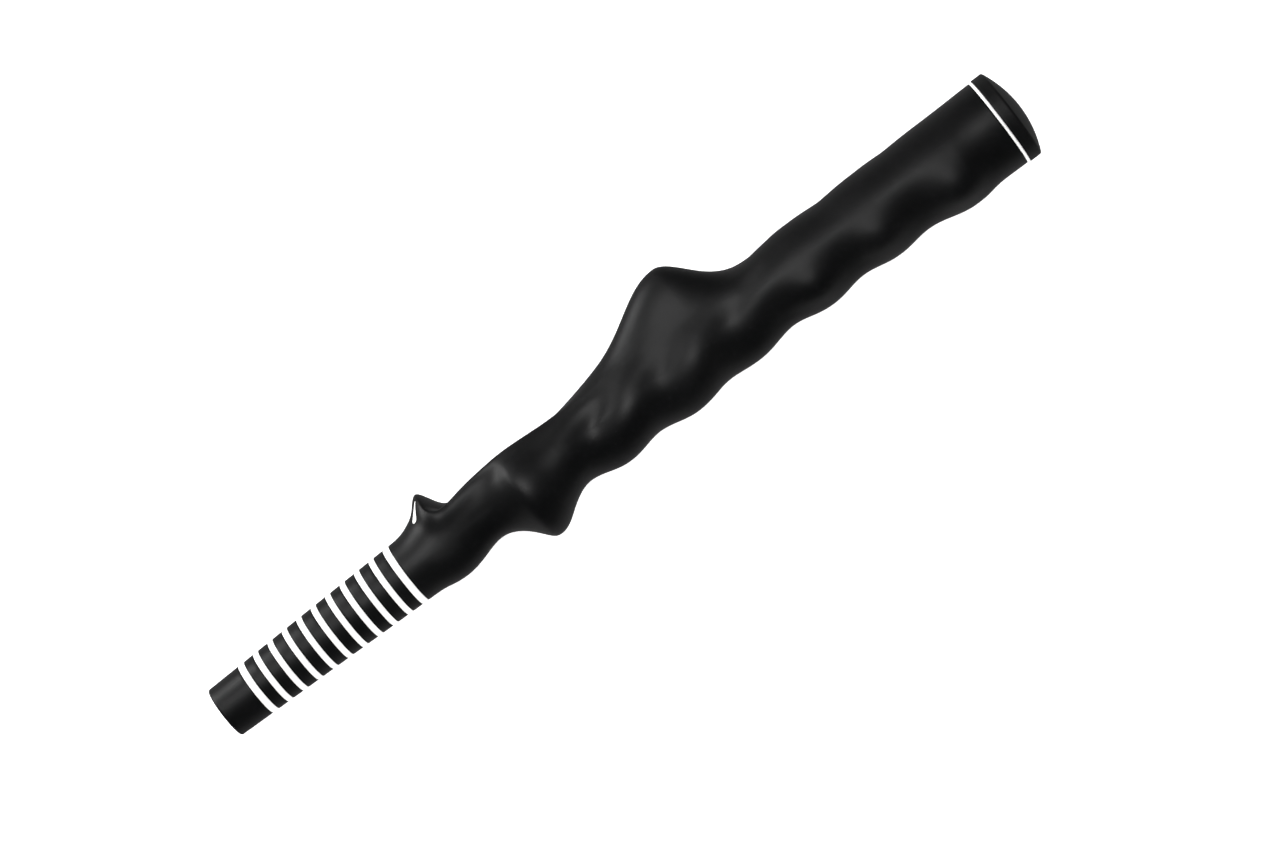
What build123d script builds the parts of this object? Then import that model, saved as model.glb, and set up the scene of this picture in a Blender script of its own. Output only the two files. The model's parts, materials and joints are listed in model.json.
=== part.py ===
from build123d import *
import math
import os

# A golf training grip: a moulded rubber sleeve with finger forms, a domed butt cap and white inlays.
#
# Frame, in millimetres: the origin is the centre of the mouth, where a shaft goes in. +X runs along the
# bore to the butt cap, +Y is the thumb side (the top of the grip in use) and -Y the finger side. +Z is
# the side that a right-handed player turns to the target, called the front here, and -Z is the back.
# Angles about the bore start at the front (+Z) and grow towards the thumb side, which is at 90 degrees.

# ---- driving dimensions -----------------------------------------------------------------------------
LENGTH = 268.8  # mouth to the top of the dome
MOUTH_RADIUS = 7.6
MOUTH_ROUND = 0.6
FRONT_TAPER = 0.024  # growth in radius per mm of length, along the ringed section
TAPER = 0.0148  # and along the rest
FLARE = 1.14  # extra radius of the hand section over the ringed section
FLARE_START, FLARE_END = 66.0, 88.0

RING_COUNT = 11
RING_PITCH = 5.0
RING_FIRST = 11.5  # centre of the first ring from the mouth
RING_WIDTH = 1.75
END_RING_WIDTH = 2.0  # the first and last rings are a little wider
GROOVE_DEPTH = 0.5  # floor of every inlay's recess, below the skin
INLAY_SINK = 0.08  # inlays stop just under the skin

BORE_MOUTH_RADIUS = 6.0
BORE_LAND = 20.0  # straight bore at the mouth
BORE_BUTT_RADIUS = 7.4
BORE_TAPER_END = 200.0

CAP_RING_AT = 261.8
CAP_RING_WIDTH = 0.9
CAP_RADIUS = 13.4
CAP_CORNER = 0.8  # rounding between the cap's side and its dome
DOME_RADIUS = 31.0
SPIGOT_RADIUS = 9.5
SPIGOT_LENGTH = 8.0
SPIGOT_GAP = 0.02  # glue line around the spigot
VENT_RADIUS = 1.6

# The white thumb mark, a teardrop on the ramp in front of the thumb stop. Its bulb is towards the mouth.
MARK_AT, MARK_ANGLE = 72.9, 66.0  # centre of the bulb, along the grip and round it
MARK_BULB, MARK_TIP = 1.0, 0.2  # radii of its two ends
MARK_LENGTH = 3.7  # between their centres
MARK_TURN = 40.0  # how far the tail turns from the grip's axis towards the thumb side
COLUMN_HEIGHT = 20.0  # reaches past the skin from the bore's axis

# Behind the rings the body is skinned through cross sections, about a step apart. The skin starts
# inside the last ring's recess, where the ringed cone ends.
SKIN_START = RING_FIRST + RING_PITCH * (RING_COUNT - 1)
SKIN_STEP = 3.0
SKIN_POINTS = 36
FORMS_START, FORMS_END = 62.5, 255.0  # the moulded forms lie between these places
FORMS_FADE = 8.0  # and die away over this length at both

# Grooves for the fingers, as places along the grip and depths on the finger side.
LOWER_FINGERS = ((116.5, 2.9), (139.5, 2.4), (162.0, 2.1))
LOWER_SLANT = 0.10  # mm along the grip per degree, as the fingertips come up the front
UPPER_FINGERS = ((185.3, 2.1), (208.4, 1.8), (229.8, 1.4))
UPPER_SLANT = 0.024  # and per degree, as the upper hand's fingers go round the back

# Low swellings at the front between the upper hand's fingers: place, angle round the grip and height.
KNUCKLES = ((196.5, -28.0, 1.7), (218.5, -26.0, 1.8), (242.5, -34.0, 2.0))

LIP_AT, LIP_HEIGHT = 73.5, 0.7  # the front edge of the forefinger's groove
HOOK_AT, HOOK_DEPTH = 88.5, 2.9  # the forefinger's groove
FIN_AT, FIN_HEIGHT = 100.8, 4.1  # the fin between forefinger and middle finger
STOP_AT, STOP_HEIGHT = 77.6, 3.6  # the stop in front of the lower thumb
CUP_START, CUP_DEPTH = 76.3, 3.0  # the cup behind the stop, for the thumb's pad
CUP_CORNER = 4.5  # rounding of its rim, where the stop runs into the crest
MM_PER_DEGREE = 0.2  # round the grip, near the cup
HUMP_AT, HUMP_HEIGHT = 164.0, 12.9  # the pad that fills the lower palm
LAST_RIDGE_AT, LAST_RIDGE_HEIGHT = 243.5, 1.0  # the ridge behind the little finger

SLEEVE_END = CAP_RING_AT - CAP_RING_WIDTH / 2
CAP_START = CAP_RING_AT + CAP_RING_WIDTH / 2
SPIGOT_END = CAP_START - SPIGOT_LENGTH
THUMB_SIDE, FINGER_SIDE = 90.0, -90.0


# ---- shaping functions ------------------------------------------------------------------------------
def smooth(t):
    """0 below 0, 1 above 1, and an even curve between."""
    t = min(1.0, max(0.0, t))
    return t * t * (3 - 2 * t)


def between(x, start, end, lead_in, lead_out):
    """0 outside start and end, 1 inside, rising and falling over the two given lengths."""
    return smooth((x - start) / lead_in) * smooth((end - x) / lead_out)


def bell(distance, before, after=None):
    """1 at distance 0, falling to about a third at the width given for that side."""
    width = before if distance < 0 or after is None else after
    return math.exp(-((distance / width) ** 2))


def turn(angle, centre):
    """Signed angle from centre to angle, from -180 to 180."""
    return (angle - centre + 180.0) % 360.0 - 180.0


def around(angle, centre, width):
    """A bell round the grip."""
    return bell(turn(angle, centre), width)


def past_fingers(angle):
    """Degrees from the finger side: positive round the back, negative round the front."""
    return turn(FINGER_SIDE, angle)


def window(angle, front, back, fade):
    """1 from so many degrees round the front of the finger side to so many round the back."""
    seen = past_fingers(angle)
    return smooth((seen + front) / fade + 0.5) * smooth((back - seen) / fade + 0.5)


# ---- the moulded forms, each a change of radius at a place along the grip and an angle round it ------
def upper_grooves(x, angle):
    """Three fingers of the upper hand: deep underneath and round the back, fading out at the front."""
    drift = UPPER_SLANT * max(0.0, past_fingers(angle))
    reach = window(angle, front=76.0, back=150.0, fade=70.0)
    over_the_top = 0.3 * around(angle, THUMB_SIDE, width=45.0)
    depth = sum(depth * bell(x - place - drift, before=7.4) for place, depth in UPPER_FINGERS)
    return -depth * max(reach, over_the_top)


def knuckles(x, angle):
    """The ridges between the upper hand's fingers end in low swellings at the front."""
    return sum(
        height * bell(x - place, before=7.0) * around(angle, centre, width=22.0)
        for place, centre, height in KNUCKLES
    )


def lower_grooves(x, angle):
    """Three fingers of the lower hand, whose tips come up the front."""
    drift = LOWER_SLANT * max(0.0, -past_fingers(angle))
    reach = window(angle, front=122.0, back=75.0, fade=50.0)
    depth = sum(depth * bell(x - place - drift, before=8.2) for place, depth in LOWER_FINGERS)
    return -depth * reach


def finger_swell(x, angle):
    """Fullness under the lower hand's fingers, and the last ridge before the butt."""
    under = window(angle, front=95.0, back=80.0, fade=90.0)
    middle = 1.9 * between(x, 94.0, 180.0, lead_in=14.0, lead_out=24.0)
    last_ridge = LAST_RIDGE_HEIGHT * bell(x - LAST_RIDGE_AT, before=7.0, after=9.0)
    return under * (middle + last_ridge)


def trigger(x, angle):
    """The forefinger's hook: a lip, a deep groove and a tall fin behind it."""
    lip = LIP_HEIGHT * bell(x - LIP_AT, before=5.0, after=6.0)
    lip *= window(angle, front=90.0, back=150.0, fade=60.0)
    groove = HOOK_DEPTH * bell(x - HOOK_AT, before=7.5, after=7.0)
    groove *= 0.55 + 0.45 * around(angle, FINGER_SIDE, width=75.0)
    groove *= window(angle, front=120.0, back=95.0, fade=54.0)
    fin = FIN_HEIGHT * bell(x - FIN_AT, before=5.2, after=8.0)
    fin *= 0.2 + 0.8 * smooth(1.0 + past_fingers(angle) / 150.0)
    fin *= window(angle, front=150.0, back=70.0, fade=70.0)
    ridge = 0.9 * bell(x - FIN_AT, before=2.4, after=6.5) * window(angle, front=130.0, back=60.0, fade=40.0)
    return lip - groove + fin + ridge


def into_cup(x, angle):
    """Distance inside the cup's rim, which runs down behind the stop and turns into the crest."""
    crest_angle = 39.0 + 17.0 * smooth((x - 74.0) / 22.0)
    from_stop = CUP_CORNER - (x - CUP_START)
    from_crest = CUP_CORNER - MM_PER_DEGREE * turn(angle, crest_angle)
    corner = math.hypot(max(0.0, from_stop), max(0.0, from_crest))
    return CUP_CORNER - corner - min(0.0, max(from_stop, from_crest))


def thumb_rest(x, angle):
    """The lower thumb's rest: a ramp up to a stop, a cup behind it with a raised rim, and a dimple."""
    ramp = 1.1 * between(x, 60.0, 84.0, lead_in=14.0, lead_out=8.0) * around(angle, 92.0, width=50.0)
    stop = STOP_HEIGHT * bell(x - STOP_AT, before=5.4, after=3.6) * around(angle, 94.0, width=38.0)
    inside = into_cup(x, angle)
    back_fade = bell(turn(angle, 84.0), before=400.0, after=36.0)
    rim = 1.5 * bell(inside, before=3.1, after=2.2) * between(x, 69.0, 126.0, lead_in=6.0, lead_out=22.0)
    cup = CUP_DEPTH * smooth(inside / 5.0) * smooth((136.0 - x) / 34.0)
    dimple = 1.0 * bell(x - 76.0, before=7.0, after=14.0) * around(angle, -8.0, width=34.0)
    return ramp + stop + back_fade * (rim - cup) - dimple


def palm_hump(x, angle):
    """The palm pad, long towards the mouth and steep towards the butt, with soft shoulders."""
    peak = HUMP_HEIGHT * bell(x - HUMP_AT, before=19.5, after=10.4)
    shoulders = 0.65 * bell(x - 152.0, before=26.0, after=20.0)
    return peak * around(angle, THUMB_SIDE, width=27.0) + shoulders * around(angle, THUMB_SIDE, width=75.0)


def upper_top(x, angle):
    """The upper hand's heel pad, and the channel for its thumb behind the hump."""
    heel = 0.65 * between(x, 180.0, 252.0, lead_in=10.0, lead_out=30.0) + 0.45 * bell(x - 199.0, before=9.0)
    heel *= around(angle, 75.0, width=60.0)
    channel = 1.5 * bell(x - 198.0, before=20.0, after=26.0) * around(angle, 128.0, width=24.0)
    return heel - channel


FORMS = (upper_grooves, knuckles, lower_grooves, finger_swell, trigger, thumb_rest, palm_hump, upper_top)


def base_radius(x):
    """The plain tapered body under the moulded forms."""
    past_rings = max(0.0, x - SKIN_START)
    flare = FLARE * smooth((x - FLARE_START) / (FLARE_END - FLARE_START))
    return MOUTH_RADIUS + FRONT_TAPER * (x - past_rings) + TAPER * past_rings + flare


def form_radius(x, angle):
    """Distance from the bore's axis to the skin of the hand section."""
    fade = between(x, FORMS_START, FORMS_END, FORMS_FADE, FORMS_FADE)
    return base_radius(x) + fade * sum(form(x, angle) for form in FORMS)


# ---- building blocks --------------------------------------------------------------------------------
def section(x, inset):
    """The closed outline of the hand section at x."""
    points = []
    for i in range(SKIN_POINTS):
        angle = 360.0 * i / SKIN_POINTS
        r = form_radius(x, angle) - inset
        points.append((x, r * math.sin(math.radians(angle)), r * math.cos(math.radians(angle))))
    return Wire([Edge.make_spline(points, periodic=True, parameters=list(range(SKIN_POINTS + 1)))])


def hand_section(inset=0.0):
    """The finger-formed part of the body, as one smooth skin through its sections."""
    count = round((SLEEVE_END - SKIN_START) / SKIN_STEP)
    places = [SKIN_START + (SLEEVE_END - SKIN_START) * i / count for i in range(count + 1)]
    return Solid.make_loft([section(x, inset) for x in places])


def turned(*profile):
    """A solid turned about the bore's axis from (x, radius) points."""
    return revolve(Plane.XY * make_face(Polyline(*profile, close=True)), Axis.X)


def band(start, end, bottom, top):
    """A ring that follows the plain body's taper, between two depths below its skin."""
    low, high = base_radius(start), base_radius(end)
    return turned((start, low - bottom), (end, high - bottom), (end, high - top), (start, low - top))


def ring_spans():
    """Start and end of each white ring, from the mouth up."""
    for i in range(RING_COUNT):
        width = END_RING_WIDTH if i in (0, RING_COUNT - 1) else RING_WIDTH
        centre = RING_FIRST + RING_PITCH * i
        yield centre - width / 2, centre + width / 2


def mark_column():
    """The outline of the thumb mark, as a column standing out from the bore through the skin."""
    turned_to = math.radians(MARK_ANGLE)
    surface = Plane((MARK_AT, 0, 0), x_dir=(1, 0, 0), z_dir=(0, math.sin(turned_to), math.cos(turned_to)))
    ends = Circle(MARK_BULB).edges() + (Pos(MARK_LENGTH, 0) * Circle(MARK_TIP)).edges()
    outline = Rot(0, 0, MARK_TURN) * make_hull(ends)
    return extrude(surface * outline, COLUMN_HEIGHT)


# ---- the pieces -------------------------------------------------------------------------------------
def outer_body():
    """The ringed cone and the hand section, still solid, joined under the last ring."""
    cone = turned((0, 0), (SKIN_START, 0), (SKIN_START, base_radius(SKIN_START)), (0, MOUTH_RADIUS))
    mouth_edge = cone.edges().filter_by(GeomType.CIRCLE).sort_by(Axis.X)[0]
    recesses = [band(start, end, GROOVE_DEPTH, -GROOVE_DEPTH) for start, end in ring_spans()]
    return (fillet(mouth_edge, MOUTH_ROUND) - recesses) + (hand_section() - recesses[-1])


def shaft_bore():
    """Straight at the mouth, widening, then straight to the cap."""
    return turned(
        (-1, 0),
        (-1, BORE_MOUTH_RADIUS),
        (BORE_LAND, BORE_MOUTH_RADIUS),
        (BORE_TAPER_END, BORE_BUTT_RADIUS),
        (SPIGOT_END + 1, BORE_BUTT_RADIUS),
        (SPIGOT_END + 1, 0),
    )


def make_sleeve(mark_pocket):
    """The rubber sleeve, bored, counterbored for the cap and with a pocket for its mark."""
    seat_radius = SPIGOT_RADIUS + SPIGOT_GAP
    past_end = SLEEVE_END + 1
    seat = turned((SPIGOT_END, 0), (SPIGOT_END, seat_radius), (past_end, seat_radius), (past_end, 0))
    return outer_body() - shaft_bore() - seat - mark_pocket


def make_cap():
    """The butt cap: side wall, dome, and a spigot that closes the bore, with a vent through it."""
    rim = CAP_RADIUS - CAP_CORNER
    dome_centre = LENGTH - DOME_RADIUS
    corner_centre = dome_centre + math.sqrt((DOME_RADIUS - CAP_CORNER) ** 2 - rim**2)
    meeting = math.atan2(rim, corner_centre - dome_centre)
    vent_edge = math.asin(VENT_RADIUS / DOME_RADIUS)

    def on_corner(angle):
        return (corner_centre + CAP_CORNER * math.cos(angle), rim + CAP_CORNER * math.sin(angle))

    def on_dome(angle):
        return (dome_centre + DOME_RADIUS * math.cos(angle), DOME_RADIUS * math.sin(angle))

    side = math.pi / 2
    outline = Polyline(
        on_dome(vent_edge),
        (SPIGOT_END, VENT_RADIUS),
        (SPIGOT_END, SPIGOT_RADIUS),
        (CAP_START, SPIGOT_RADIUS),
        (CAP_START, CAP_RADIUS),
        on_corner(side),
    )
    corner = ThreePointArc(on_corner(side), on_corner((side + meeting) / 2), on_dome(meeting))
    dome = ThreePointArc(on_dome(meeting), on_dome((meeting + vent_edge) / 2), on_dome(vent_edge))
    return revolve(Plane.XY * make_face([outline, corner, dome]), Axis.X)


def make_cap_ring():
    """The white ring between the sleeve and the cap."""
    top = base_radius(CAP_RING_AT) - INLAY_SINK
    start, end = SLEEVE_END, CAP_START
    return turned((start, SPIGOT_RADIUS), (end, SPIGOT_RADIUS), (end, top), (start, top))


def write(solid, name):
    export_step(solid, f"parts/{name}.step")


def main():
    os.makedirs("parts", exist_ok=True)
    mark_pocket = mark_column() - hand_section(GROOVE_DEPTH)
    write(make_sleeve(mark_pocket), "grip_sleeve")
    write(make_cap(), "butt_cap")
    write(make_cap_ring(), "cap_ring")
    for number, (start, end) in enumerate(ring_spans(), 1):
        write(band(start, end, GROOVE_DEPTH, INLAY_SINK), f"white_ring_{number:02d}")
    write(mark_pocket & hand_section(INLAY_SINK), "thumb_mark")


main()
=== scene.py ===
import json
import math
import bpy
import numpy as np
from mathutils import Matrix, Vector


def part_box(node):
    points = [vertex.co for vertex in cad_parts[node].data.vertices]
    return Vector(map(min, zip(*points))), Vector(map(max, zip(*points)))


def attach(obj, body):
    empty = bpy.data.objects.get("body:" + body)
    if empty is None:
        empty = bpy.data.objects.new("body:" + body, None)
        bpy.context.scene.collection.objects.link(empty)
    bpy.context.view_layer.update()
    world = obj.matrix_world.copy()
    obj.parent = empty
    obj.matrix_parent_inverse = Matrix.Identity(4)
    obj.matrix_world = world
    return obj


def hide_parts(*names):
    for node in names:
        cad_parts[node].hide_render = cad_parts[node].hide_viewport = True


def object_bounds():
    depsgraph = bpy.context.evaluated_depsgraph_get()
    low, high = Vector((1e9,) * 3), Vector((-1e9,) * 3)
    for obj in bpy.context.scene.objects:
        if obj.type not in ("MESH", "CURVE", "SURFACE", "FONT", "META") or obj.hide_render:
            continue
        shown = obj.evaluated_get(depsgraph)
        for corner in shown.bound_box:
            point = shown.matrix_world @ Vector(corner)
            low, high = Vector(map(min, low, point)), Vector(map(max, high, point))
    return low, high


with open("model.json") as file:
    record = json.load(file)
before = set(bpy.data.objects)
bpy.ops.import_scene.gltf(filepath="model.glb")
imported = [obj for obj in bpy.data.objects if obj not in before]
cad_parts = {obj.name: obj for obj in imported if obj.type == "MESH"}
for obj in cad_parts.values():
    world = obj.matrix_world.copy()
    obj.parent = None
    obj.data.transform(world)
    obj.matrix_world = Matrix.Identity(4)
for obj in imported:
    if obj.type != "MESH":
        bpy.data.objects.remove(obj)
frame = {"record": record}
cad_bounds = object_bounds()

# Shapes are worked out in millimetres, as in the CAD model, and built in metres. The frame is the CAD
# model's: +X along the bore from the mouth to the cap, +Y the thumb side, +Z the front. Angles about
# the bore start at the front and grow towards the thumb side.
MM = 0.001
RING_COUNT = 11
FINE_ROWS, COARSE_ROWS = 0.1, 0.55  # spacing of the skin's rows behind the rings, at the mark and elsewhere
FRONT_ROWS, FIRST_PLAIN_ROW = 0.8, 1.0  # spacing of its rows between the rings, and where they start
FINE_COLUMNS, COARSE_COLUMNS = 0.5, 1.25  # degrees between the skin's columns: at the mark, elsewhere
MARK_ROWS, MARK_COLUMNS = (70.5, 77.5), (40.0, 96.0)  # where the rows and columns lie close together
MARK_WALL = 0.16  # width over which the mark's recess falls away
MARK_REACH = 60.0  # degrees from the mark beyond which nothing counts as near it
FAR_OUTSIDE = 9.0  # distance given to everything beyond that
MARK_POINTS, MARK_LEVELS = 96, 14  # points round the mark, and levels across its top
MARK_MIDDLE = 0.3  # share of the mark's length about which its levels shrink
MARK_EDGE = ((1.0, 0.05), (0.96, 0.01))  # its soft edge: share of its outline, and depth under its face
MARK_FACE = (0.9, 0.08)  # shares of its outline at the first and last levels of its face
TURNED_COLUMNS = 192  # columns of the turned pieces
CAP_SIDE_ROWS, CAP_CORNER_ROWS, DOME_ROWS = 5, 10, 26
CAP_SIDE_INSETS = (0.6, 0.2)  # the side's plain rows keep this far from its two ends
DOME_INSET = 0.6  # degrees from the end of the cap's corner to the dome's first row
SKIN_INSET = 0.02  # keeps the curved skin inside the CAD model's box
RECESS_WALL = 0.01  # run of a recess's walls along the bore
ROW_CLEARANCE = 0.25  # plain rows keep this far from a recess's edge
END_CLEARANCE = 0.3  # and this far from the sleeve's end
RING_CROWN = 0.02  # how much the middle of a ring stands above its sides

# Softened edges, as steps from the edge: how far along the bore, and how far under the surface.
RECESS_EDGE = ((0.1, 0.0), (0.03, 0.03), (0.0, 0.1))
SLEEVE_EDGE = ((0.15, 0.0), (0.04, 0.03), (0.0, 0.12))
RING_EDGE = ((0.0, 0.1), (0.04, 0.03), (0.1, 0.0))
CAP_RING_EDGE = ((0.0, 0.12), (0.06, 0.03), (0.16, 0.0))
CAP_EDGE = ((0.0, 0.2), (0.05, 0.06), (0.18, 0.0))
BORE_EDGE = ((0.25, 0.0), (0.07, 0.07), (0.0, 0.25))
VENT_EDGE = ((0.06, 0.1), (0.25, 0.0))
VENT_CHAMFER = 0.3  # where the dome stops, outside the vent's wall


# ---- what the frame says ----------------------------------------------------------------------------
def box_mm(node):
    """Low and high corners of a node's box."""
    low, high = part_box(node)
    return low / MM, high / MM


def span(node):
    """Start and end of a node along the bore."""
    low, high = box_mm(node)
    return low.x, high.x


mounts = {m["name"]: m for m in frame["record"]["mounts"]}
BORE_RADIUS = mounts["shaft_bore"]["dims"]["r_mm"]
BORE_LAND = mounts["shaft_bore"]["dims"]["length_mm"]
VENT_RADIUS = mounts["vent_hole"]["dims"]["r_mm"]
RINGS = [span(f"white_ring_{n:02d}") for n in range(1, RING_COUNT + 1)]
SLEEVE_END = span("grip_sleeve")[1]
SPIGOT_END, CAP_TOP = span("butt_cap")
CAP_RING = span("cap_ring")
CAP_RADIUS = -box_mm("butt_cap")[0].z

# ---- the moulded form, with the CAD model's own dimensions and shape functions --------------------
MOUTH_RADIUS = 7.6
MOUTH_ROUND = 0.6
FRONT_TAPER = 0.024
TAPER = 0.0148
FLARE = 1.14
FLARE_START, FLARE_END = 66.0, 88.0
GROOVE_DEPTH = 0.5
INLAY_SINK = 0.08
BORE_BUTT_RADIUS = 7.4
BORE_TAPER_END = 200.0
CAP_CORNER = 0.8
DOME_RADIUS = 31.0
SPIGOT_RADIUS = 9.5
SPIGOT_GAP = 0.02
MARK_AT, MARK_ANGLE = 72.9, 66.0
MARK_BULB, MARK_TIP = 1.0, 0.2
MARK_LENGTH = 3.7
MARK_TURN = 40.0
FORMS_START, FORMS_END = 62.5, 255.0
FORMS_FADE = 8.0
LOWER_FINGERS = ((116.5, 2.9), (139.5, 2.4), (162.0, 2.1))
LOWER_SLANT = 0.10
UPPER_FINGERS = ((185.3, 2.1), (208.4, 1.8), (229.8, 1.4))
UPPER_SLANT = 0.024
KNUCKLES = ((196.5, -28.0, 1.7), (218.5, -26.0, 1.8), (242.5, -34.0, 2.0))
LIP_AT, LIP_HEIGHT = 73.5, 0.7
HOOK_AT, HOOK_DEPTH = 88.5, 2.9
FIN_AT, FIN_HEIGHT = 100.8, 4.1
STOP_AT, STOP_HEIGHT = 77.6, 3.6
CUP_START, CUP_DEPTH = 76.3, 3.0
CUP_CORNER = 4.5
MM_PER_DEGREE = 0.2
HUMP_AT, HUMP_HEIGHT = 164.0, 12.9
LAST_RIDGE_AT, LAST_RIDGE_HEIGHT = 243.5, 1.0
THUMB_SIDE, FINGER_SIDE = 90.0, -90.0
SKIN_START = 61.5


def smooth(t):
    """0 below 0, 1 above 1, and an even curve between."""
    t = np.clip(t, 0.0, 1.0)
    return t * t * (3 - 2 * t)


def between(x, start, end, lead_in, lead_out):
    """0 outside start and end, 1 inside, rising and falling over the two given lengths."""
    return smooth((x - start) / lead_in) * smooth((end - x) / lead_out)


def bell(distance, before, after=None):
    """1 at distance 0, falling to about a third at the width given for that side."""
    width = np.where(distance < 0, before, before if after is None else after)
    return np.exp(-((distance / width) ** 2))


def turn(angle, centre):
    """Signed angle from centre to angle, from -180 to 180."""
    return (angle - centre + 180.0) % 360.0 - 180.0


def around(angle, centre, width):
    """A bell round the grip."""
    return bell(turn(angle, centre), width)


def past_fingers(angle):
    """Degrees from the finger side: positive round the back, negative round the front."""
    return turn(FINGER_SIDE, angle)


def window(angle, front, back, fade):
    """1 from so many degrees round the front of the finger side to so many round the back."""
    seen = past_fingers(angle)
    return smooth((seen + front) / fade + 0.5) * smooth((back - seen) / fade + 0.5)


# ---- the moulded forms, each a change of radius at a place along the grip and an angle round it ------
def upper_grooves(x, angle):
    """Three fingers of the upper hand: deep underneath and round the back, fading out at the front."""
    drift = UPPER_SLANT * np.maximum(0.0, past_fingers(angle))
    reach = window(angle, front=76.0, back=150.0, fade=70.0)
    over_the_top = 0.3 * around(angle, THUMB_SIDE, width=45.0)
    depth = sum(depth * bell(x - place - drift, before=7.4) for place, depth in UPPER_FINGERS)
    return -depth * np.maximum(reach, over_the_top)


def knuckles(x, angle):
    """The ridges between the upper hand's fingers end in low swellings at the front."""
    return sum(
        height * bell(x - place, before=7.0) * around(angle, centre, width=22.0)
        for place, centre, height in KNUCKLES
    )


def lower_grooves(x, angle):
    """Three fingers of the lower hand, whose tips come up the front."""
    drift = LOWER_SLANT * np.maximum(0.0, -past_fingers(angle))
    reach = window(angle, front=122.0, back=75.0, fade=50.0)
    depth = sum(depth * bell(x - place - drift, before=8.2) for place, depth in LOWER_FINGERS)
    return -depth * reach


def finger_swell(x, angle):
    """Fullness under the lower hand's fingers, and the last ridge before the butt."""
    under = window(angle, front=95.0, back=80.0, fade=90.0)
    middle = 1.9 * between(x, 94.0, 180.0, lead_in=14.0, lead_out=24.0)
    last_ridge = LAST_RIDGE_HEIGHT * bell(x - LAST_RIDGE_AT, before=7.0, after=9.0)
    return under * (middle + last_ridge)


def trigger(x, angle):
    """The forefinger's hook: a lip, a deep groove and a tall fin behind it."""
    lip = LIP_HEIGHT * bell(x - LIP_AT, before=5.0, after=6.0)
    lip *= window(angle, front=90.0, back=150.0, fade=60.0)
    groove = HOOK_DEPTH * bell(x - HOOK_AT, before=7.5, after=7.0)
    groove *= 0.55 + 0.45 * around(angle, FINGER_SIDE, width=75.0)
    groove *= window(angle, front=120.0, back=95.0, fade=54.0)
    fin = FIN_HEIGHT * bell(x - FIN_AT, before=5.2, after=8.0)
    fin *= 0.2 + 0.8 * smooth(1.0 + past_fingers(angle) / 150.0)
    fin *= window(angle, front=150.0, back=70.0, fade=70.0)
    ridge = 0.9 * bell(x - FIN_AT, before=2.4, after=6.5) * window(angle, front=130.0, back=60.0, fade=40.0)
    return lip - groove + fin + ridge


def into_cup(x, angle):
    """Distance inside the cup's rim, which runs down behind the stop and turns into the crest."""
    crest_angle = 39.0 + 17.0 * smooth((x - 74.0) / 22.0)
    from_stop = CUP_CORNER - (x - CUP_START)
    from_crest = CUP_CORNER - MM_PER_DEGREE * turn(angle, crest_angle)
    corner = np.hypot(np.maximum(0.0, from_stop), np.maximum(0.0, from_crest))
    return CUP_CORNER - corner - np.minimum(0.0, np.maximum(from_stop, from_crest))


def thumb_rest(x, angle):
    """The lower thumb's rest: a ramp up to a stop, a cup behind it with a raised rim, and a dimple."""
    ramp = 1.1 * between(x, 60.0, 84.0, lead_in=14.0, lead_out=8.0) * around(angle, 92.0, width=50.0)
    stop = STOP_HEIGHT * bell(x - STOP_AT, before=5.4, after=3.6) * around(angle, 94.0, width=38.0)
    inside = into_cup(x, angle)
    back_fade = bell(turn(angle, 84.0), before=400.0, after=36.0)
    rim = 1.5 * bell(inside, before=3.1, after=2.2) * between(x, 69.0, 126.0, lead_in=6.0, lead_out=22.0)
    cup = CUP_DEPTH * smooth(inside / 5.0) * smooth((136.0 - x) / 34.0)
    dimple = 1.0 * bell(x - 76.0, before=7.0, after=14.0) * around(angle, -8.0, width=34.0)
    return ramp + stop + back_fade * (rim - cup) - dimple


def palm_hump(x, angle):
    """The palm pad, long towards the mouth and steep towards the butt, with soft shoulders."""
    peak = HUMP_HEIGHT * bell(x - HUMP_AT, before=19.5, after=10.4)
    shoulders = 0.65 * bell(x - 152.0, before=26.0, after=20.0)
    return peak * around(angle, THUMB_SIDE, width=27.0) + shoulders * around(angle, THUMB_SIDE, width=75.0)


def upper_top(x, angle):
    """The upper hand's heel pad, and the channel for its thumb behind the hump."""
    heel = 0.65 * between(x, 180.0, 252.0, lead_in=10.0, lead_out=30.0) + 0.45 * bell(x - 199.0, before=9.0)
    heel *= around(angle, 75.0, width=60.0)
    channel = 1.5 * bell(x - 198.0, before=20.0, after=26.0) * around(angle, 128.0, width=24.0)
    return heel - channel


FORMS = (upper_grooves, knuckles, lower_grooves, finger_swell, trigger, thumb_rest, palm_hump, upper_top)


def base_radius(x):
    """The plain tapered body under the moulded forms."""
    past_rings = np.maximum(0.0, x - SKIN_START)
    flare = FLARE * smooth((x - FLARE_START) / (FLARE_END - FLARE_START))
    return MOUTH_RADIUS + FRONT_TAPER * (x - past_rings) + TAPER * past_rings + flare


def form_radius(x, angle):
    """Distance from the bore's axis to the skin of the hand section."""
    fade = between(x, FORMS_START, FORMS_END, FORMS_FADE, FORMS_FADE)
    return base_radius(x) + fade * sum(form(x, angle) for form in FORMS)


# ---- mesh building ----------------------------------------------------------------------------------
def on_axis(x, radius, angle):
    """Points in metres from places along the bore, radii and angles, all arrays of one shape."""
    turned = np.radians(angle)
    return np.stack([x, radius * np.sin(turned), radius * np.cos(turned)], axis=-1) * MM


def mesh_object(name, points, faces, material, stands_for):
    """A smooth-shaded piece that replaces one CAD node and rides with the part."""
    mesh = bpy.data.meshes.new(name)
    mesh.from_pydata(points.tolist(), [], faces)
    mesh.validate()
    mesh.shade_smooth()
    mesh.materials.append(material)
    piece = bpy.data.objects.new(name, mesh)
    bpy.context.scene.collection.objects.link(piece)
    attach(piece, "root")
    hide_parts(stands_for)
    return piece


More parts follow.
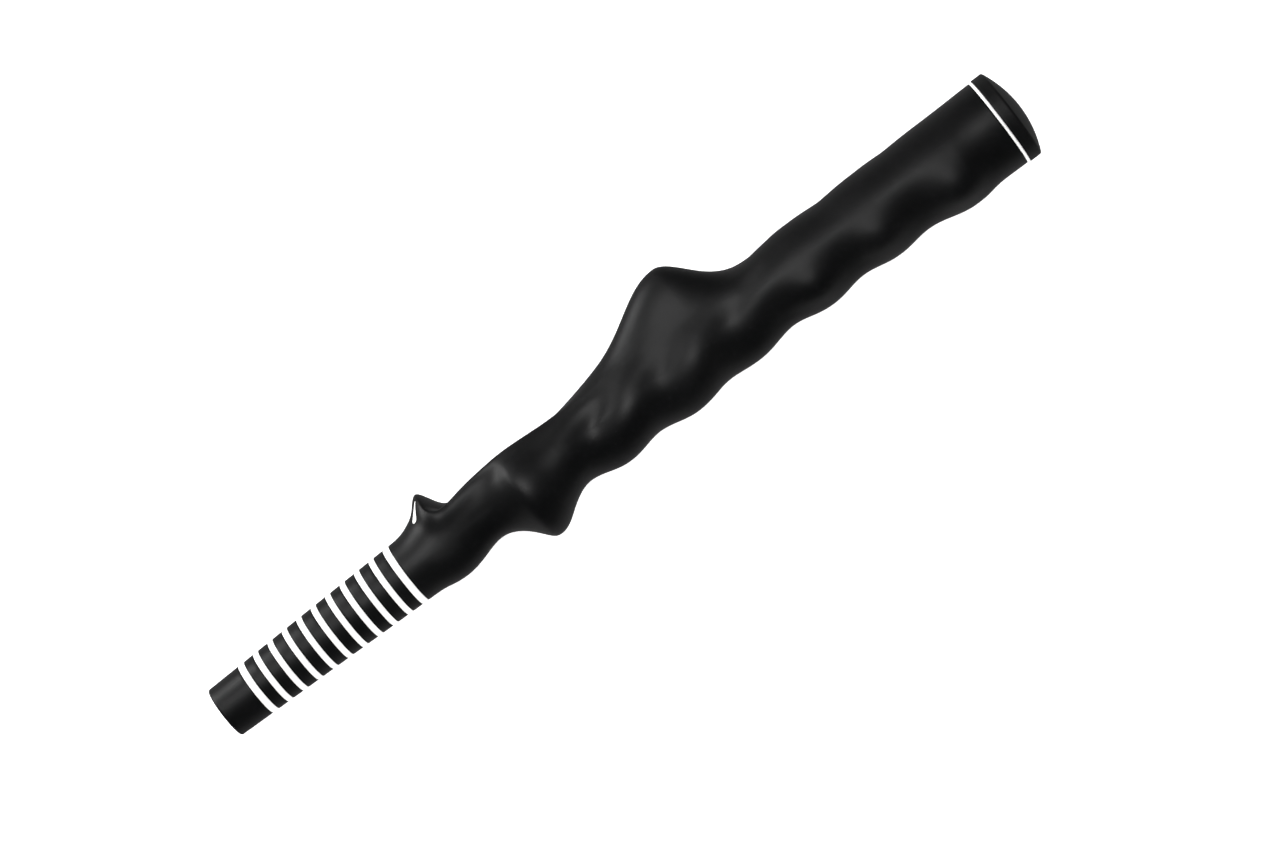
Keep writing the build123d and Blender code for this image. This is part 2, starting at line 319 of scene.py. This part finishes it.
def loop_faces(rows, columns):
    """Quads over a grid that closes on itself both ways, facing out of the solid."""
    i, j = np.meshgrid(np.arange(rows), np.arange(columns), indexing="ij")
    a = i * columns + j
    b = i * columns + (j + 1) % columns
    c = (i + 1) % rows * columns + (j + 1) % columns
    d = (i + 1) % rows * columns + j
    return np.stack([a, b, c, d], axis=-1).reshape(-1, 4).tolist()


def turned_piece(name, profile, material):
    """A closed solid turned about the bore, from a closed loop of (x, radius), outside first."""
    x, radius = np.array(profile, float).T
    angle = np.linspace(0.0, 360.0, TURNED_COLUMNS, endpoint=False)
    shape = (len(x), TURNED_COLUMNS)
    points = on_axis(np.broadcast_to(x[:, None], shape), np.broadcast_to(radius[:, None], shape),
                     np.broadcast_to(angle, shape))
    return mesh_object(name + "_skin", points.reshape(-1, 3), loop_faces(*shape), material, name)


def arc(centre, radius, start, end, steps):
    """Points (x, r) on an arc, angles in degrees from +x towards larger r."""
    return [(centre[0] + radius * math.cos(math.radians(a)), centre[1] + radius * math.sin(math.radians(a)))
            for a in np.linspace(start, end, steps)]


# ---- materials --------------------------------------------------------------------------------------
WAVE_DEPTH, GRAIN_DEPTH, PORE_DEPTH = 0.00004, 0.000012, 0.00001  # bumps in the surface, metres


class Nodes:
    """Short names for adding shader nodes to one material."""

    def __init__(self, name):
        self.material = bpy.data.materials.new(name)
        self.material.use_nodes = True
        self.tree = self.material.node_tree
        self.shader = self.tree.nodes["Principled BSDF"]
        self.place = self.add("ShaderNodeTexCoord").outputs["Object"]

    def add(self, kind, **settings):
        node = self.tree.nodes.new(kind)
        for key, value in settings.items():
            setattr(node, key, value)
        return node

    def put(self, value, socket):
        """Links a socket or sets a constant."""
        if isinstance(value, bpy.types.NodeSocket):
            self.tree.links.new(value, socket)
        else:
            socket.default_value = value

    def noise(self, scale, detail=3.0):
        """Noise in the object's own frame, scale in bumps per metre."""
        node = self.add("ShaderNodeTexNoise")
        self.put(self.place, node.inputs["Vector"])
        self.put(scale, node.inputs["Scale"])
        self.put(detail, node.inputs["Detail"])
        self.put(0.5, node.inputs["Roughness"])
        return node.outputs["Fac"]

    def remap(self, value, low, high, to_low, to_high):
        """Carries the range low to high over to to_low to to_high."""
        node = self.add("ShaderNodeMapRange")
        sockets = ("Value", "From Min", "From Max", "To Min", "To Max")
        for socket, setting in zip(sockets, (value, low, high, to_low, to_high)):
            self.put(setting, node.inputs[socket])
        return node.outputs["Result"]

    def mix(self, factor, a, b):
        """Colour a at factor 0, colour b at factor 1."""
        node = self.add("ShaderNodeMix", data_type="RGBA")
        self.put(factor, node.inputs["Factor"])
        self.put(a, node.inputs[6])
        self.put(b, node.inputs[7])
        return node.outputs[2]

    def bump(self, height, distance, normal=None):
        """A bump of full strength, its distance in metres, on top of another one's normal if given."""
        node = self.add("ShaderNodeBump")
        self.put(height, node.inputs["Height"])
        self.put(distance, node.inputs["Distance"])
        self.put(1.0, node.inputs["Strength"])
        if normal:
            self.put(normal, node.inputs["Normal"])
        return node.outputs["Normal"]

    def finish(self, **sockets):
        """Sets the shader's sockets, named with _ for a space, and gives the material."""
        for name, value in sockets.items():
            self.put(value, self.shader.inputs[name.replace("_", " ")])
        return self.material


def rubber(name, dark, light, rough_low, rough_high, specular):
    """Satin moulded rubber: a fine matte grain, slight waviness and faint patches of handling."""
    n = Nodes(name)
    patches = n.noise(55.0, detail=4.0)
    grain = n.noise(3200.0, detail=2.0)
    wave = n.noise(260.0, detail=2.0)
    colour = n.mix(n.remap(patches, 0.35, 0.7, 0.0, 1.0), (*dark, 1), (*light, 1))
    rough = n.remap(patches, 0.3, 0.7, rough_low, rough_high)
    normal = n.bump(wave, WAVE_DEPTH, normal=n.bump(grain, GRAIN_DEPTH))
    return n.finish(Base_Color=colour, Roughness=rough, Normal=normal, Specular_IOR_Level=specular)


def white_inlay(name):
    """White filled inlay: matte, a little uneven, with a trace of grey in its pores."""
    n = Nodes(name)
    pores = n.noise(2600.0, detail=2.0)
    patches = n.noise(120.0)
    colour = n.mix(n.remap(pores, 0.62, 0.8, 0.0, 0.35), (0.9, 0.9, 0.89, 1), (0.7, 0.7, 0.69, 1))
    rough = n.remap(patches, 0.3, 0.7, 0.42, 0.55)
    normal = n.bump(pores, PORE_DEPTH)
    return n.finish(Base_Color=colour, Roughness=rough, Normal=normal, Specular_IOR_Level=0.4)


SLEEVE_RUBBER = rubber("sleeve_rubber", dark=(0.0018, 0.0018, 0.0021), light=(0.0030, 0.0030, 0.0034),
                       rough_low=0.41, rough_high=0.49, specular=0.28)
CAP_RUBBER = rubber("cap_rubber", dark=(0.0021, 0.0021, 0.0023), light=(0.0034, 0.0034, 0.0037),
                    rough_low=0.48, rough_high=0.56, specular=0.28)
WHITE = white_inlay("white_inlay")


# ---- the thumb mark ---------------------------------------------------------------------------------
def mark_frame(x, radius, angle):
    """The place of a point in the mark's own plane: along the teardrop from its bulb, and across it."""
    round_it = radius * np.sin(np.radians(angle - MARK_ANGLE))
    along, turned = x - MARK_AT, math.radians(MARK_TURN)
    return (
        along * math.cos(turned) + round_it * math.sin(turned),
        round_it * math.cos(turned) - along * math.sin(turned),
    )


def outside_mark(x, radius, angle):
    """Distance outside the teardrop's outline, negative inside it."""
    along, across = mark_frame(x, radius, angle)
    slope = (MARK_BULB - MARK_TIP) / MARK_LENGTH
    level = math.sqrt(1.0 - slope**2)
    foot = np.clip(along + np.abs(across) * slope / level, 0.0, MARK_LENGTH)
    reach = MARK_BULB - (MARK_BULB - MARK_TIP) * foot / MARK_LENGTH
    distance = np.hypot(along - foot, across) - reach
    near = np.abs(turn(angle, MARK_ANGLE)) < MARK_REACH
    return np.where(near, distance, FAR_OUTSIDE)


# ---- the sleeve -------------------------------------------------------------------------------------
def skin_rows():
    """Each row's place along the bore and how far it is sunk, with a sharp step at each recess's walls."""
    rows = [(MOUTH_ROUND * (1 - math.cos(math.radians(a))), 0.0) for a in range(0, 91, 15)]
    for start, end in RINGS:
        rows += [(start - along, sunk) for along, sunk in RECESS_EDGE]
        rows += [(start + RECESS_WALL, GROOVE_DEPTH), (end - RECESS_WALL, GROOVE_DEPTH)]
        rows += [(end + along, sunk) for along, sunk in RECESS_EDGE]
    edges = [x for x, _ in rows]
    rings_end = RINGS[-1][1]
    rows += [(x, 0.0) for x in np.arange(FIRST_PLAIN_ROW, rings_end, FRONT_ROWS)
             if min(abs(x - e) for e in edges) > ROW_CLEARANCE and not any(a < x < b for a, b in RINGS)]
    close, far = MARK_ROWS
    rows += [(x, 0.0) for x in np.arange(rings_end + 2 * ROW_CLEARANCE, close, COARSE_ROWS)]
    rows += [(x, 0.0) for x in np.arange(close, far, FINE_ROWS)]
    rows += [(x, 0.0) for x in np.arange(far, SLEEVE_END - END_CLEARANCE, COARSE_ROWS)]
    rows += [(SLEEVE_END - along, sunk) for along, sunk in SLEEVE_EDGE]
    return sorted(rows)


def skin_columns():
    """Angles of the skin's columns, closer together round the mark."""
    low, high = MARK_COLUMNS
    return np.concatenate([np.arange(low, high, FINE_COLUMNS), np.arange(high, low + 360.0, COARSE_COLUMNS)])


def sleeve_piece():
    """The sleeve as one closed skin: outside, end face, counterbore, bore and mouth face."""
    angle = skin_columns()
    loops = []
    for x, sunk in skin_rows():
        row = np.full(len(angle), x)
        rounding = MOUTH_ROUND - math.sqrt(max(0.0, MOUTH_ROUND**2 - max(0.0, MOUTH_ROUND - x) ** 2))
        radius = form_radius(row, angle) - SKIN_INSET
        pocket = GROOVE_DEPTH * smooth(0.5 - outside_mark(row, radius, angle) / MARK_WALL)
        loops.append(on_axis(row, radius - sunk - rounding - pocket, angle))
    inside = [
        (SLEEVE_END, SPIGOT_RADIUS + SPIGOT_GAP),
        (SPIGOT_END, SPIGOT_RADIUS + SPIGOT_GAP),
        (SPIGOT_END, BORE_BUTT_RADIUS),
        (BORE_TAPER_END, BORE_BUTT_RADIUS),
        (BORE_LAND, BORE_RADIUS),
    ]
    inside += [(x, BORE_RADIUS + wider) for x, wider in BORE_EDGE]
    for x, radius in inside:
        loops.append(on_axis(np.full(len(angle), x), np.full(len(angle), radius), angle))
    points = np.array(loops)
    faces = loop_faces(*points.shape[:2])
    return mesh_object("grip_sleeve_skin", points.reshape(-1, 3), faces, SLEEVE_RUBBER,
                       "grip_sleeve")


def mark_piece():
    """The teardrop inlay: a closed solid that follows the skin, a little sunk, with a soft edge."""
    turned = math.radians(MARK_TURN)
    lean = math.acos((MARK_BULB - MARK_TIP) / MARK_LENGTH)
    bulb = [(0.0, MARK_BULB, a) for a in np.linspace(lean, 2 * math.pi - lean, MARK_POINTS * 2 // 3)]
    tip = [(MARK_LENGTH, MARK_TIP, a) for a in np.linspace(-lean, lean, MARK_POINTS - len(bulb))]
    rim = [(c + r * math.cos(a), r * math.sin(a)) for c, r, a in bulb + tip]
    # Each level is a share of the outline's size and a depth under the skin, from the floor up.
    floor_share = 1.0 - 0.5 * MARK_WALL / MARK_BULB
    levels = [(0.1 * floor_share, GROOVE_DEPTH), (floor_share, GROOVE_DEPTH)]
    levels += [(1.0, GROOVE_DEPTH * 0.6)] + [(share, INLAY_SINK + sunk) for share, sunk in MARK_EDGE]
    levels += [(share, INLAY_SINK) for share in np.linspace(*MARK_FACE, MARK_LEVELS)]

    def seat(along, across, sunk):
        """A point of the mark's own plane, laid on the skin."""
        x = MARK_AT + along * math.cos(turned) - across * math.sin(turned)
        round_it = along * math.sin(turned) + across * math.cos(turned)
        angle = MARK_ANGLE
        for _ in range(6):  # the skin's radius and the angle depend on each other
            radius = float(form_radius(np.array(x), np.array(angle))) - SKIN_INSET
            angle = MARK_ANGLE + math.degrees(math.asin(round_it / radius))
        return on_axis(np.array(x), np.array(radius - sunk), np.array(angle))

    middle = MARK_LENGTH * MARK_MIDDLE
    points = []
    for share, sunk in levels:
        points += [seat(middle + (a - middle) * share, b * share, sunk) for a, b in rim]
    faces = []
    last = (len(levels) - 1) * MARK_POINTS
    for low in range(0, last, MARK_POINTS):
        high = low + MARK_POINTS
        for j in range(MARK_POINTS):
            k = (j + 1) % MARK_POINTS
            faces.append((low + j, low + k, high + k, high + j))
    faces.append(tuple(range(MARK_POINTS))[::-1])
    faces.append(tuple(range(last, last + MARK_POINTS)))
    return mesh_object("thumb_mark_skin", np.array(points), faces, WHITE, "thumb_mark")


# ---- inlays -----------------------------------------------------------------------------------------
def ring_piece(node, start, end):
    """A white ring with a slightly crowned top and soft edges, seated on its recess's floor."""
    side = [(start + along, INLAY_SINK + sunk) for along, sunk in RING_EDGE]
    top = side + [((start + end) / 2, INLAY_SINK - RING_CROWN)]
    top += [(start + end - x, sunk) for x, sunk in reversed(side)]
    outline = [(x, float(base_radius(x)) - sunk) for x, sunk in top]
    floor = [(x, float(base_radius(x)) - GROOVE_DEPTH) for x in (end, start)]
    return turned_piece(node, outline + floor, WHITE)


def cap_ring_piece():
    """The white ring between sleeve and cap, round the cap's spigot."""
    start, end = CAP_RING
    radius = box_mm("cap_ring")[1].y
    side = [(start + along, radius - sunk) for along, sunk in CAP_RING_EDGE]
    top = side + [((start + end) / 2, radius + RING_CROWN)]
    top += [(start + end - x, r) for x, r in reversed(side)]
    floor = [(end, SPIGOT_RADIUS), (start, SPIGOT_RADIUS)]
    return turned_piece("cap_ring", top + floor, WHITE)


# ---- the cap ----------------------------------------------------------------------------------------
def cap_piece():
    """Side wall, rounded corner, dome, chamfered vent, and the spigot in the sleeve."""
    rim = CAP_RADIUS - CAP_CORNER
    centre = CAP_TOP - math.sqrt(DOME_RADIUS**2 - VENT_RADIUS**2)
    corner = centre + math.sqrt((DOME_RADIUS - CAP_CORNER) ** 2 - rim**2)
    meeting = math.degrees(math.atan2(rim, corner - centre))
    vent_edge = math.degrees(math.asin((VENT_RADIUS + VENT_CHAMFER) / DOME_RADIUS))
    start = CAP_RING[1]
    outline = [(start + along, CAP_RADIUS - sunk) for along, sunk in CAP_EDGE]
    low, high = start + CAP_SIDE_INSETS[0], corner - CAP_SIDE_INSETS[1]
    outline += [(x, CAP_RADIUS) for x in np.linspace(low, high, CAP_SIDE_ROWS)]
    outline += arc((corner, rim), CAP_CORNER, 90.0, meeting, CAP_CORNER_ROWS)
    outline += arc((centre, 0.0), DOME_RADIUS, meeting - DOME_INSET, vent_edge, DOME_ROWS)
    vent_top = outline[-1][0]
    outline += [(vent_top - deep, VENT_RADIUS + wider) for deep, wider in VENT_EDGE]
    outline += [(SPIGOT_END, VENT_RADIUS), (SPIGOT_END, SPIGOT_RADIUS), (start, SPIGOT_RADIUS)]
    return turned_piece("butt_cap", outline, CAP_RUBBER)


# ---- light, floor and camera ------------------------------------------------------------------------
# The camera looks almost straight down on the front, rolled so that the grip rises to the right.
LENS, SENSOR_WIDTH = 146.8, 36.0
DISTANCE = 1.4016  # metres
AIM = Vector((135.85, -6.54, 0.0)) * MM
ROLL = math.radians(37.33)
TILT = math.radians(2.5)  # the butt is nearer to the camera than the mouth


def camera_axes():
    """Right, up and back of the camera, in the row's frame."""
    along = Vector((math.cos(TILT) * math.cos(ROLL), math.cos(TILT) * math.sin(ROLL), math.sin(TILT)))
    towards = Vector((0, 0, 1))
    front = (towards - towards.dot(along) * along).normalized()
    thumb = front.cross(along)
    return [Vector((along[i], thumb[i], front[i])) for i in range(3)]


RIGHT, UP, BACK = camera_axes()
SWEEP_RADIUS, COVE_RADIUS, WALL_HEIGHT = 5.0, 1.5, 5.0  # metres
FLAT_RADII = (0.6, 1.5)  # circles of points on the sweep's flat middle, metres
COVE_STEPS, SWEEP_TURNS = 13, 96  # points up the cove, and round the sweep
SWEEP_GLOW = 0.8  # light of the sweep's own, which lights white inlays from all sides
WORLD_FADE = -0.3  # height of a direction at which the surroundings have reached their lower level


def stand(obj, where, right, up, back):
    """Puts an object at a point, turned to three axes."""
    obj.matrix_world = Matrix((
        (right.x, up.x, back.x, where.x),
        (right.y, up.y, back.y, where.y),
        (right.z, up.z, back.z, where.z),
        (0, 0, 0, 1),
    ))


def make_camera():
    """The camera, looking along -BACK at AIM."""
    data = bpy.data.cameras.new("camera")
    data.lens = LENS
    data.sensor_width = SENSOR_WIDTH
    camera = bpy.data.objects.new("camera", data)
    bpy.context.scene.collection.objects.link(camera)
    stand(camera, AIM + BACK * DISTANCE, RIGHT, UP, BACK)
    bpy.context.scene.camera = camera


def soft_light(name, offset, width, height, watts):
    """A soft box facing the grip, at an offset in metres from the camera's aim, in the row's axes."""
    data = bpy.data.lights.new(name, "AREA")
    data.shape = "RECTANGLE"
    data.size = width
    data.size_y = height
    data.energy = watts
    light = bpy.data.objects.new(name, data)
    bpy.context.scene.collection.objects.link(light)
    light.visible_camera = False
    away = Vector(offset)
    light.matrix_world = Matrix.Translation(AIM + away) @ away.to_track_quat("Z", "Y").to_matrix().to_4x4()


def make_sweep():
    """A pale studio floor that curves up into a wall all round. The grip's mouth and butt touch it."""
    mouth_low = -MOUTH_RADIUS * MM
    slope = math.atan2(mouth_low - cad_bounds[0].z, SLEEVE_END * MM)
    cove = [(SWEEP_RADIUS - COVE_RADIUS + COVE_RADIUS * math.sin(a), COVE_RADIUS * (1 - math.cos(a)))
            for a in np.radians(np.linspace(0.0, 90.0, COVE_STEPS))]
    profile = [(r, 0.0) for r in FLAT_RADII] + cove + [(SWEEP_RADIUS, WALL_HEIGHT)]
    points = [(0.0, 0.0, 0.0)]
    points += [(r * math.cos(a), r * math.sin(a), z)
               for r, z in profile for a in np.linspace(0.0, 2 * math.pi, SWEEP_TURNS, endpoint=False)]
    faces = [(0, 1 + j, 1 + (j + 1) % SWEEP_TURNS) for j in range(SWEEP_TURNS)]
    for i in range(len(profile) - 1):
        near = 1 + i * SWEEP_TURNS
        far = near + SWEEP_TURNS
        for j in range(SWEEP_TURNS):
            k = (j + 1) % SWEEP_TURNS
            faces.append((near + j, far + j, far + k, near + k))
    mesh = bpy.data.meshes.new("floor")
    mesh.from_pydata(points, [], faces)
    mesh.shade_smooth()
    floor = bpy.data.objects.new("floor", mesh)
    bpy.context.scene.collection.objects.link(floor)
    floor.rotation_euler = (0.0, slope, 0.0)
    floor.location = (0.0, 0.0, mouth_low)
    floor.visible_glossy = False  # black rubber would mirror it as a grey rim
    n = Nodes("floor_paper")
    fibre = n.noise(900.0)
    paper = n.mix(fibre, (0.86, 0.86, 0.86, 1), (0.9, 0.9, 0.9, 1))
    mesh.materials.append(n.finish(Base_Color=paper, Roughness=0.8, Emission_Color=(1, 1, 1, 1),
                                   Emission_Strength=SWEEP_GLOW))


def make_world(above, below):
    """Dim surroundings for the rubber to mirror, paler below the grip than above it."""
    world = bpy.data.worlds.new("studio")
    world.use_nodes = True
    nodes, links = world.node_tree.nodes, world.node_tree.links
    direction = nodes.new("ShaderNodeSeparateXYZ")
    links.new(nodes.new("ShaderNodeTexCoord").outputs["Generated"], direction.inputs[0])
    level = nodes.new("ShaderNodeMapRange")
    links.new(direction.outputs["Z"], level.inputs["Value"])
    for name, value in (("From Min", WORLD_FADE), ("From Max", 0.0), ("To Min", below), ("To Max", above)):
        level.inputs[name].default_value = value
    links.new(level.outputs["Result"], nodes["Background"].inputs["Strength"])
    nodes["Background"].inputs["Color"].default_value = (1, 1, 1, 1)
    bpy.context.scene.world = world
    bpy.context.scene.view_settings.view_transform = "Standard"


make_camera()
make_sweep()
make_world(above=0.05, below=0.32)
soft_light("key", (-0.10, 0.40, 0.97), width=0.34, height=0.5, watts=4.3)
soft_light("side", (-0.30, 0.42, 0.10), width=0.35, height=0.22, watts=1.7)

sleeve_piece()
cap_piece()
cap_ring_piece()
mark_piece()
for number, (ring_start, ring_end) in enumerate(RINGS, 1):
    ring_piece(f"white_ring_{number:02d}", ring_start, ring_end)
